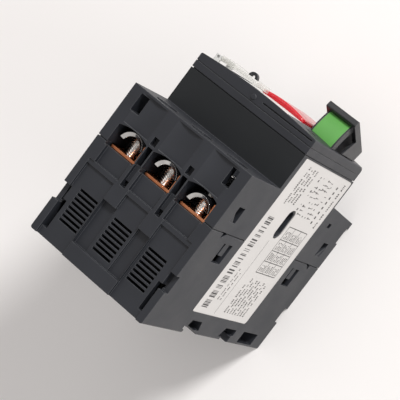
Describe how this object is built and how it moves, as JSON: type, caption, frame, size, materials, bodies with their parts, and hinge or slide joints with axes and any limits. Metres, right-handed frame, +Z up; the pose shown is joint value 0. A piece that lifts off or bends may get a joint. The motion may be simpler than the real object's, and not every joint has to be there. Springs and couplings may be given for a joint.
{
  "type": "motor protection breaker",
  "caption": "Three-pole motor protection breaker for a 35 mm rail, with rocker start button, stop button, setting dial and box terminals.",
  "frame": {"origin": "centre of the bounding box at the lower terminal face, which it stands on", "axes": "+Z up along the height, from the lower to the upper terminal face; the front with the buttons faces -Y; the rating label is on the -X side"},
  "size_m": [0.0446, 0.0775, 0.089],
  "materials": {
    "housing": "fine spark-eroded anthracite moulding",
    "frame": "fine matt anthracite moulding",
    "face_plate": "smooth light grey moulding",
    "label": null,
    "black_button": "satin black moulding",
    "green_button": "satin green moulding",
    "red_button": "glossy red moulding",
    "dial": "light grey moulding",
    "clear_cover": "clear polycarbonate",
    "test_button": "satin yellow moulding",
    "latch_plastic": "black moulding",
    "inner_plastic": "dark thermoset",
    "copper": "bare copper strip",
    "bimetal": "laminated strip",
    "chrome": "bright zinc plating",
    "steel": "zinc-plated sheet and pins",
    "spring_steel": "drawn wire"
  },
  "bodies": {
    "housing": {"rear_housing": "housing", "front_housing": "housing", "front_frame": "frame", "front_plate": "face_plate", "side_label": "label", "start_pivot_pin": "steel", "cover_hinge_pin": "steel", "lower_contact_bars": "copper", "coil_yokes": "steel", "mechanism_frame": "steel", "latch_pin": "steel", "start_return_spring": "spring_steel", "stop_return_spring": "spring_steel", "latch_return_spring": "spring_steel", "rail_latch_spring": "spring_steel", "upper_terminal_plate_1": "copper", "lower_terminal_plate_1": "copper", "arc_chute_1": "steel", "magnetic_coil_1": "copper", "bimetal_strip_1": "bimetal", "upper_terminal_plate_2": "copper", "lower_terminal_plate_2": "copper", "arc_chute_2": "steel", "magnetic_coil_2": "copper", "bimetal_strip_2": "bimetal", "upper_terminal_plate_3": "copper", "lower_terminal_plate_3": "copper", "arc_chute_3": "steel", "magnetic_coil_3": "copper", "bimetal_strip_3": "bimetal"},
    "start_button": {"start_button_cap": "black_button", "start_button_flank": "green_button"},
    "stop_button": {"stop_button": "red_button"},
    "setting_dial": {"setting_dial": "dial"},
    "sealing_cover": {"sealing_cover": "clear_cover", "seal_lug": "black_button"},
    "test_button": {"test_button": "test_button"},
    "contact_set": {"contact_carrier": "inner_plastic", "contact_springs": "spring_steel", "contact_bridge_1": "copper", "contact_bridge_2": "copper", "contact_bridge_3": "copper"},
    "trip_bar": {"trip_bar": "inner_plastic"},
    "latch_lever": {"latch_lever": "steel"},
    "rail_latch": {"rail_latch": "latch_plastic"},
    "trip_plunger_1": {"trip_plunger_1": "steel"},
    "upper_clamp_1": {"upper_clamp_saddle_1": "chrome"},
    "upper_screw_1": {"upper_terminal_screw_1": "chrome"},
    "lower_clamp_1": {"lower_clamp_saddle_1": "chrome"},
    "lower_screw_1": {"lower_terminal_screw_1": "chrome"},
    "trip_plunger_2": {"trip_plunger_2": "steel"},
    "upper_clamp_2": {"upper_clamp_saddle_2": "chrome"},
    "upper_screw_2": {"upper_terminal_screw_2": "chrome"},
    "lower_clamp_2": {"lower_clamp_saddle_2": "chrome"},
    "lower_screw_2": {"lower_terminal_screw_2": "chrome"},
    "trip_plunger_3": {"trip_plunger_3": "steel"},
    "upper_clamp_3": {"upper_clamp_saddle_3": "chrome"},
    "upper_screw_3": {"upper_terminal_screw_3": "chrome"},
    "lower_clamp_3": {"lower_clamp_saddle_3": "chrome"},
    "lower_screw_3": {"lower_terminal_screw_3": "chrome"}
  },
  "joints": [
    {"name": "start_press", "type": "hinge", "parent": "housing", "child": "start_button", "pos_m": [-0.0158, -0.02575, 0.0299], "axis": [-1, 0, 0], "range_deg": [0, 20], "stiffness_Nm_per_rad": 0.05, "springref_deg": -11.46, "deforming": ["start_return_spring"]},
    {"name": "contact_close", "type": "slide", "parent": "housing", "child": "contact_set", "axis": [0, 1, 0], "range_m": [0, 0.0019]},
    {"name": "stop_press", "type": "slide", "parent": "housing", "child": "stop_button", "axis": [0, 1, 0], "range_m": [0, 0.002], "stiffness_N_per_m": 400, "springref_m": -0.002, "deforming": ["stop_return_spring"]},
    {"name": "dial_turn", "type": "hinge", "parent": "housing", "child": "setting_dial", "pos_m": [0.0105, -0.02125, 0.059], "axis": [0, -1, 0], "range_deg": [-140, 140]},
    {"name": "cover_swing", "type": "hinge", "parent": "housing", "child": "sealing_cover", "pos_m": [0.0186, -0.02975, 0.059], "axis": [0, 0, 1], "range_deg": [0, 115]},
    {"name": "test_press", "type": "slide", "parent": "housing", "child": "test_button", "axis": [0, 1, 0], "range_m": [0, 0.0012], "stiffness_N_per_m": 200, "springref_m": -0.001},
    {"name": "trip_bar_turn", "type": "hinge", "parent": "housing", "child": "trip_bar", "pos_m": [0, 0.02425, 0.0406], "axis": [-1, 0, 0], "range_deg": [0, 6], "stiffness_Nm_per_rad": 0.02, "springref_deg": -5.73},
    {"name": "latch_turn", "type": "hinge", "parent": "housing", "child": "latch_lever", "pos_m": [0.0069, -0.00725, 0.0506], "axis": [1, 0, 0], "range_deg": [0, 8], "stiffness_Nm_per_rad": 0.02, "springref_deg": -5.73, "deforming": ["latch_return_spring"]},
    {"name": "rail_latch_slide", "type": "slide", "parent": "housing", "child": "rail_latch", "axis": [0, 0, -1], "range_m": [0, 0.0026], "stiffness_N_per_m": 600, "springref_m": -0.002, "deforming": ["rail_latch_spring"]},
    {"name": "trip_plunger_1_lift", "type": "slide", "parent": "housing", "child": "trip_plunger_1", "axis": [0, 0, 1], "range_m": [0, 0.0015]},
    {"name": "trip_plunger_2_lift", "type": "slide", "parent": "housing", "child": "trip_plunger_2", "axis": [0, 0, 1], "range_m": [0, 0.0015]},
    {"name": "trip_plunger_3_lift", "type": "slide", "parent": "housing", "child": "trip_plunger_3", "axis": [0, 0, 1], "range_m": [0, 0.0015]},
    {"name": "upper_clamp_1_travel", "type": "slide", "parent": "housing", "child": "upper_clamp_1", "axis": [0, 1, 0], "range_m": [0, 0.0027]},
    {"name": "upper_screw_1_turn", "type": "hinge", "parent": "upper_clamp_1", "child": "upper_screw_1", "pos_m": [0.0135, -0.00125, 0.0825], "axis": [0, 1, 0], "range_deg": [0, 1388.7]},
    {"name": "upper_clamp_2_travel", "type": "slide", "parent": "housing", "child": "upper_clamp_2", "axis": [0, 1, 0], "range_m": [0, 0.0027]},
    {"name": "upper_screw_2_turn", "type": "hinge", "parent": "upper_clamp_2", "child": "upper_screw_2", "pos_m": [0, -0.00125, 0.0825], "axis": [0, 1, 0], "range_deg": [0, 1388.7]},
    {"name": "upper_clamp_3_travel", "type": "slide", "parent": "housing", "child": "upper_clamp_3", "axis": [0, 1, 0], "range_m": [0, 0.0014]},
    {"name": "upper_screw_3_turn", "type": "hinge", "parent": "upper_clamp_3", "child": "upper_screw_3", "pos_m": [-0.0135, -0.00125, 0.0825], "axis": [0, 1, 0], "range_deg": [0, 720.1]},
    {"name": "lower_clamp_1_travel", "type": "slide", "parent": "housing", "child": "lower_clamp_1", "axis": [0, 1, 0], "range_m": [0, 0.0027]},
    {"name": "lower_screw_1_turn", "type": "hinge", "parent": "lower_clamp_1", "child": "lower_screw_1", "pos_m": [0.0135, -0.00125, 0.0065], "axis": [0, 1, 0], "range_deg": [0, 1388.7]},
    {"name": "lower_clamp_2_travel", "type": "slide", "parent": "housing", "child": "lower_clamp_2", "axis": [0, 1, 0], "range_m": [0, 0.0027]},
    {"name": "lower_screw_2_turn", "type": "hinge", "parent": "lower_clamp_2", "child": "lower_screw_2", "pos_m": [0, -0.00125, 0.0065], "axis": [0, 1, 0], "range_deg": [0, 1388.7]},
    {"name": "lower_clamp_3_travel", "type": "slide", "parent": "housing", "child": "lower_clamp_3", "axis": [0, 1, 0], "range_m": [0, 0.0027]},
    {"name": "lower_screw_3_turn", "type": "hinge", "parent": "lower_clamp_3", "child": "lower_screw_3", "pos_m": [-0.0135, -0.00125, 0.0065], "axis": [0, 1, 0], "range_deg": [0, 1388.7]}
  ],
  "couplings": [
    {"joint": "start_press", "follows": "contact_close", "rad_per_m": 183.7},
    {"joint": "latch_turn", "follows": "trip_bar_turn", "ratio": 1.333},
    {"joint": "upper_screw_1_turn", "follows": "upper_clamp_1_travel", "rad_per_m": 8976},
    {"joint": "upper_screw_2_turn", "follows": "upper_clamp_2_travel", "rad_per_m": 8976},
    {"joint": "upper_screw_3_turn", "follows": "upper_clamp_3_travel", "rad_per_m": 8976},
    {"joint": "lower_screw_1_turn", "follows": "lower_clamp_1_travel", "rad_per_m": 8976},
    {"joint": "lower_screw_2_turn", "follows": "lower_clamp_2_travel", "rad_per_m": 8976},
    {"joint": "lower_screw_3_turn", "follows": "lower_clamp_3_travel", "rad_per_m": 8976}
  ]
}
